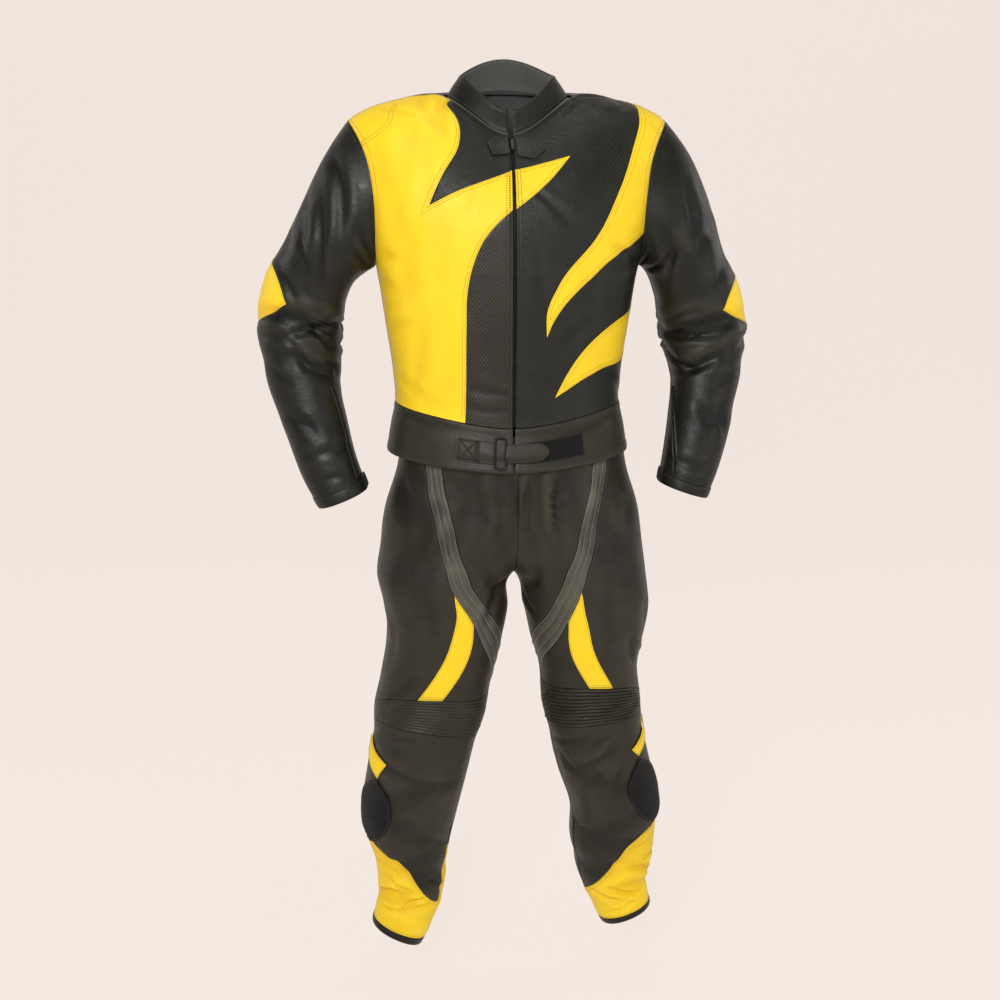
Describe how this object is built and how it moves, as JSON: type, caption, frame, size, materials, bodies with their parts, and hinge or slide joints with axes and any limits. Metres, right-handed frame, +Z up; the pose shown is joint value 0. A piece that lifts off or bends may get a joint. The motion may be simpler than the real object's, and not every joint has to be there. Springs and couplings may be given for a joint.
{
  "type": "two-piece motorcycle race suit",
  "caption": "Hollow two-piece leather race suit in worn shape: jacket with stand collar, front zip and belt over trousers with ribbed knees and stretch strips.",
  "frame": {"origin": "centre of the neck opening at the height of the collar's base", "axes": "+Z up, along the length of the suit; +Y towards the wearer's back, the front facing -Y; +X towards the wearer's left"},
  "size_m": [0.7862, 0.2707, 1.4799],
  "materials": {
    "black_leather": "black dyed cowhide, fine grain, semi-matte",
    "trouser_leather": "black dyed cowhide with a brown cast, fine grain, semi-matte",
    "yellow_leather": "yellow pigmented cowhide, smooth, semi-matte",
    "grey_stretch": "grey ribbed stretch weave",
    "collar_lining": "dark grey knitted lining",
    "hook_loop": "black hook-and-loop tape",
    "zip_tape": "black woven zip tape",
    "black_metal": "black lacquered zinc alloy, satin"
  },
  "bodies": {
    "suit": {"back_lower": "black_leather", "back_yoke": "black_leather", "belt_hook_strip": "hook_loop", "belt_patch": "black_leather", "belt_ring": "black_metal", "belt_tongue": "black_leather", "collar": "black_leather", "collar_lining": "collar_lining", "cuff_band_left": "black_leather", "cuff_band_right": "black_leather", "cuff_tab_left": "hook_loop", "cuff_tab_right": "hook_loop", "fly": "trouser_leather", "front_left_black": "black_leather", "front_left_claw": "yellow_leather", "front_left_flash": "yellow_leather", "front_left_slash": "yellow_leather", "front_right_lower": "black_leather", "front_right_upper": "black_leather", "front_right_yellow": "yellow_leather", "front_zip": "zip_tape", "jacket_waistband": "black_leather", "knee_accordion_left": "trouser_leather", "knee_accordion_right": "trouser_leather", "knee_hook_patch_left": "hook_loop", "knee_hook_patch_right": "hook_loop", "knee_yellow_left": "yellow_leather", "knee_yellow_right": "yellow_leather", "leg_back_left": "trouser_leather", "leg_back_right": "trouser_leather", "leg_calf_left": "trouser_leather", "leg_calf_right": "trouser_leather", "leg_flash_left": "yellow_leather", "leg_flash_right": "yellow_leather", "leg_gaiter_left": "yellow_leather", "leg_gaiter_right": "yellow_leather", "leg_hem_left": "black_leather", "leg_hem_right": "black_leather", "leg_inner_left": "trouser_leather", "leg_inner_right": "trouser_leather", "leg_pelvis_left": "trouser_leather", "leg_pelvis_right": "trouser_leather", "leg_shin_left": "trouser_leather", "leg_shin_right": "trouser_leather", "leg_stretch_left": "grey_stretch", "leg_stretch_right": "grey_stretch", "leg_thigh_left": "trouser_leather", "leg_thigh_right": "trouser_leather", "neck_tab_left": "black_leather", "neck_tab_right": "black_leather", "sleeve_elbow_left": "yellow_leather", "sleeve_elbow_right": "yellow_leather", "sleeve_forearm_left": "black_leather", "sleeve_forearm_right": "black_leather", "sleeve_upper_left": "black_leather", "sleeve_upper_right": "black_leather", "zip_slider": "black_metal"},
    "pull": {"zip_pull": "black_metal"}
  },
  "joints": [
    {"name": "zip_pull_hinge", "type": "hinge", "parent": "suit", "child": "pull", "pos_m": [0, -0.08706, -0.05313], "axis": [1, 0, 0], "range_deg": [-100, 0]}
  ]
}
